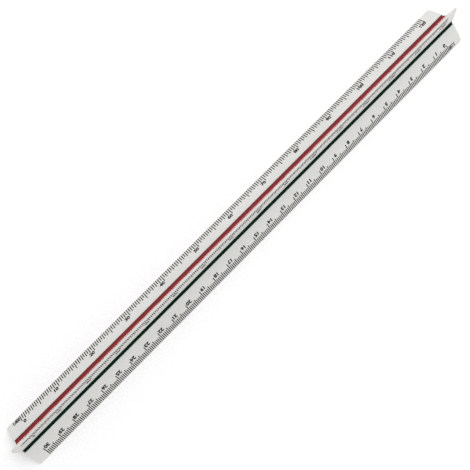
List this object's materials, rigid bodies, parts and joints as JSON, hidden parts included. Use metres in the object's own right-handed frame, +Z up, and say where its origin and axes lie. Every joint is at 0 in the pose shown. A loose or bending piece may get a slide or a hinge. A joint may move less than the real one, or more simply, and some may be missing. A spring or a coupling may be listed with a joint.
{
  "type": "triangular scale ruler",
  "caption": "Long white plastic drafting ruler with a three-armed star section, a coloured strip in each flute and graduated scales on the arms' faces.",
  "frame": {"origin": "under the middle of the ruler, on the surface that its two lower arm tips lie on", "axes": "+X along the ruler, +Z up through the ridge arm, -Y towards the arm beside the dark green strip"},
  "size_m": [0.317, 0.0248, 0.0216],
  "materials": {
    "white_plastic": "satin",
    "red_plastic": "satin",
    "green_plastic": "satin",
    "blue_plastic": "satin"
  },
  "bodies": {
    "root": {"ruler_body": "white_plastic", "stripe_red": "red_plastic", "stripe_green": "green_plastic", "stripe_blue": "blue_plastic"}
  },
  "joints": []
}
